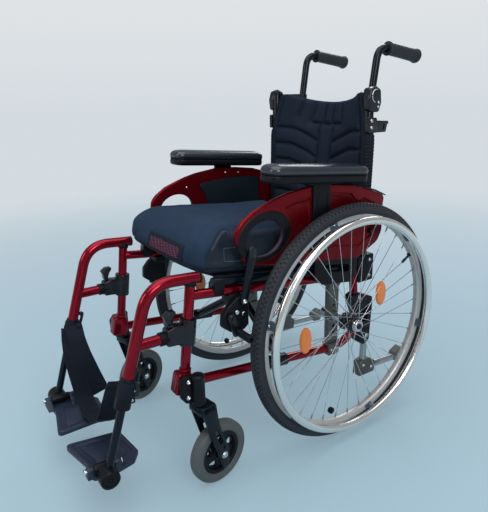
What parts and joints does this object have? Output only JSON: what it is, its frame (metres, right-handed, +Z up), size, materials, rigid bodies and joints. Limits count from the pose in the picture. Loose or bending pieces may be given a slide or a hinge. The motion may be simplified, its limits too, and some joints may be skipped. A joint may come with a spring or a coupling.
{
  "type": "active folding wheelchair",
  "caption": "Folding active wheelchair with a cross brace, swing-away footrests, swivel casters, quick-release rear wheels with handrims, wheel locks and side guards.",
  "frame": {"origin": "centre of the chair's box at floor level, midway between the footplates' front edges and the push grips' rear ends and on the chair's middle plane", "axes": "+Z up, -Y the way the chair faces, +X to the chair's left-hand side as the user sits"},
  "size_m": [0.5902, 1.0072, 0.9834],
  "materials": {
    "red": "metallic candy red paint, glossy",
    "black": "moulded black plastic",
    "black_metal": "black powder coat",
    "steel": "bright polished steel",
    "alloy": "satin aluminium",
    "tyre": "black rubber tyre",
    "grey_tyre": "grey polyurethane tyre",
    "rubber": "soft grip rubber",
    "fabric": "black woven nylon and mesh",
    "pad": "blue-grey moulded foam skin"
  },
  "bodies": {
    "frame_right": {"side_frame_right": "red", "rear_bracket_right": "black_metal", "tipping_lever_right": "alloy", "axle_plate_right": "alloy", "caster_housing_right": "black", "side_guard_right": "red", "brake_housing_right": "black", "backrest_post_right": "black_metal", "cushion": "fabric", "seat_sling": "fabric", "back_upholstery": "fabric"},
    "frame_left": {"side_frame_left": "red", "rear_bracket_left": "black_metal", "tipping_lever_left": "alloy", "axle_plate_left": "alloy", "caster_housing_left": "black", "side_guard_left": "red", "brake_housing_left": "black", "backrest_post_left": "black_metal"},
    "brace_a": {"brace_a": "black_metal"},
    "brace_b": {"brace_b": "black_metal"},
    "caster_fork_left": {"caster_fork_left": "black_metal"},
    "caster_wheel_left": {"caster_hub_left": "black", "caster_tyre_left": "grey_tyre"},
    "rear_wheel_left": {"rear_tyre_left": "tyre", "rear_rim_left": "steel", "rear_hub_left": "steel", "handrim_left": "steel"},
    "button_left": {"axle_button_left": "black"},
    "armrest_left": {"arm_post_left": "black", "arm_pad_left": "pad"},
    "hanger_left": {"hanger_left": "red", "hanger_clamp_left": "black"},
    "hanger_latch_left": {"hanger_lever_left": "black"},
    "foot_tube_left": {"foot_tube_left": "black_metal"},
    "footplate_left": {"footplate_left": "black"},
    "brake_lever_left": {"brake_lever_left": "black_metal"},
    "brake_shoe_left": {"brake_shoe_left": "steel"},
    "handle_left": {"push_handle_left": "black_metal", "push_grip_left": "rubber"},
    "caster_fork_right": {"caster_fork_right": "black_metal"},
    "caster_wheel_right": {"caster_hub_right": "black", "caster_tyre_right": "grey_tyre"},
    "rear_wheel_right": {"rear_tyre_right": "tyre", "rear_rim_right": "steel", "rear_hub_right": "steel", "handrim_right": "steel"},
    "button_right": {"axle_button_right": "black"},
    "armrest_right": {"arm_post_right": "black", "arm_pad_right": "pad"},
    "hanger_right": {"hanger_right": "red", "hanger_clamp_right": "black", "calf_strap": "fabric"},
    "hanger_latch_right": {"hanger_lever_right": "black"},
    "foot_tube_right": {"foot_tube_right": "black_metal"},
    "footplate_right": {"footplate_right": "black"},
    "brake_lever_right": {"brake_lever_right": "black_metal"},
    "brake_shoe_right": {"brake_shoe_right": "steel"},
    "handle_right": {"push_handle_right": "black_metal", "push_grip_right": "rubber"}
  },
  "joints": [
    {"name": "fold", "type": "hinge", "parent": "frame_right", "child": "brace_a", "pos_m": [-0.18, -0.02329, 0.2325], "axis": [0, -0.9921, 0.1253], "range_deg": [0, 38.3], "deforming": ["cushion", "seat_sling", "back_upholstery", "calf_strap"]},
    {"name": "fold_centre", "type": "hinge", "parent": "brace_a", "child": "brace_b", "pos_m": [0, -0.00938, 0.34262], "axis": [0, -0.9921, 0.1253], "range_deg": [-76.6, 0]},
    {"name": "fold_left", "type": "hinge", "parent": "brace_b", "child": "frame_left", "pos_m": [0.18, -0.02329, 0.2325], "axis": [0, -0.9921, 0.1253], "range_deg": [0, 38.3]},
    {"name": "caster_swivel_left", "type": "hinge", "parent": "frame_left", "child": "caster_fork_left", "pos_m": [0.21, -0.25729, 0.25], "axis": [0, 0, 1], "continuous": true},
    {"name": "caster_spin_left", "type": "hinge", "parent": "caster_fork_left", "child": "caster_wheel_left", "pos_m": [0.20298, -0.21082, 0.075], "axis": [0.9888, 0.1494, 0], "continuous": true},
    {"name": "wheel_spin_left", "type": "hinge", "parent": "frame_left", "child": "rear_wheel_left", "pos_m": [0.242, 0.16671, 0.30418], "axis": [0.9998, 0, 0.0209], "continuous": true},
    {"name": "axle_release_left", "type": "slide", "parent": "frame_left", "child": "button_left", "axis": [-0.9998, 0, -0.0209], "range_m": [0, 0.003], "stiffness_N_per_m": 200, "springref_m": -0.003},
    {"name": "armrest_height_left", "type": "slide", "parent": "frame_left", "child": "armrest_left", "axis": [0, 0, 1], "range_m": [0, 0.06]},
    {"name": "hanger_swing_left", "type": "hinge", "parent": "frame_left", "child": "hanger_left", "pos_m": [0.18, -0.27479, 0.26427], "axis": [0, 0.1253, 0.9921], "range_deg": [0, 90]},
    {"name": "hanger_release_left", "type": "hinge", "parent": "hanger_left", "child": "hanger_latch_left", "pos_m": [0.18, -0.30329, 0.4115], "axis": [1, 0, 0], "range_deg": [0, 20], "stiffness_Nm_per_rad": 0.2, "springref_deg": -8.59},
    {"name": "leg_length_left", "type": "slide", "parent": "hanger_left", "child": "foot_tube_left", "axis": [0, -0.3007, -0.9537], "range_m": [-0.018, 0.05]},
    {"name": "footplate_flip_left", "type": "hinge", "parent": "foot_tube_left", "child": "footplate_left", "pos_m": [0.158, -0.46178, 0.12598], "axis": [0, 0.9976, -0.0698], "range_deg": [0, 93]},
    {"name": "brake_lever_left", "type": "hinge", "parent": "frame_left", "child": "brake_lever_left", "pos_m": [0.2145, -0.13529, 0.431], "axis": [1, 0, 0], "range_deg": [0, 40]},
    {"name": "brake_shoe_left", "type": "hinge", "parent": "frame_left", "child": "brake_shoe_left", "pos_m": [0.2145, -0.17029, 0.402], "axis": [1, 0, 0], "range_deg": [0, 11.6]},
    {"name": "handle_height_left", "type": "slide", "parent": "frame_left", "child": "handle_left", "axis": [0, 0.152, 0.9884], "range_m": [-0.03, 0.08]},
    {"name": "caster_swivel_right", "type": "hinge", "parent": "frame_right", "child": "caster_fork_right", "pos_m": [-0.21, -0.25729, 0.25], "axis": [0, 0, 1], "continuous": true},
    {"name": "caster_spin_right", "type": "hinge", "parent": "caster_fork_right", "child": "caster_wheel_right", "pos_m": [-0.22389, -0.21239, 0.075], "axis": [0.9553, 0.2955, 0], "continuous": true},
    {"name": "wheel_spin_right", "type": "hinge", "parent": "frame_right", "child": "rear_wheel_right", "pos_m": [-0.242, 0.16671, 0.30418], "axis": [-0.9998, 0, 0.0209], "continuous": true},
    {"name": "axle_release_right", "type": "slide", "parent": "frame_right", "child": "button_right", "axis": [0.9998, 0, -0.0209], "range_m": [0, 0.003], "stiffness_N_per_m": 200, "springref_m": -0.003},
    {"name": "armrest_height_right", "type": "slide", "parent": "frame_right", "child": "armrest_right", "axis": [0, 0, 1], "range_m": [0, 0.06]},
    {"name": "hanger_swing_right", "type": "hinge", "parent": "frame_right", "child": "hanger_right", "pos_m": [-0.18, -0.27479, 0.26427], "axis": [0, -0.1253, -0.9921], "range_deg": [0, 90]},
    {"name": "hanger_release_right", "type": "hinge", "parent": "hanger_right", "child": "hanger_latch_right", "pos_m": [-0.18, -0.30329, 0.4115], "axis": [1, 0, 0], "range_deg": [0, 20], "stiffness_Nm_per_rad": 0.2, "springref_deg": -8.59},
    {"name": "leg_length_right", "type": "slide", "parent": "hanger_right", "child": "foot_tube_right", "axis": [0, -0.3007, -0.9537], "range_m": [-0.018, 0.05]},
    {"name": "footplate_flip_right", "type": "hinge", "parent": "foot_tube_right", "child": "footplate_right", "pos_m": [-0.158, -0.46178, 0.12598], "axis": [0, -0.9976, 0.0698], "range_deg": [0, 93]},
    {"name": "brake_lever_right", "type": "hinge", "parent": "frame_right", "child": "brake_lever_right", "pos_m": [-0.2145, -0.13529, 0.431], "axis": [1, 0, 0], "range_deg": [0, 40]},
    {"name": "brake_shoe_right", "type": "hinge", "parent": "frame_right", "child": "brake_shoe_right", "pos_m": [-0.2145, -0.17029, 0.402], "axis": [1, 0, 0], "range_deg": [0, 11.6]},
    {"name": "handle_height_right", "type": "slide", "parent": "frame_right", "child": "handle_right", "axis": [0, 0.152, 0.9884], "range_m": [-0.03, 0.08]}
  ],
  "couplings": [
    {"joint": "fold_centre", "follows": "fold", "ratio": -2},
    {"joint": "fold_left", "follows": "fold", "ratio": 1},
    {"joint": "footplate_flip_left", "follows": "fold", "ratio": 2.4281},
    {"joint": "brake_shoe_left", "follows": "brake_lever_left", "ratio": 0.2875},
    {"joint": "footplate_flip_right", "follows": "fold", "ratio": 2.4281},
    {"joint": "brake_shoe_right", "follows": "brake_lever_right", "ratio": 0.2875}
  ]
}
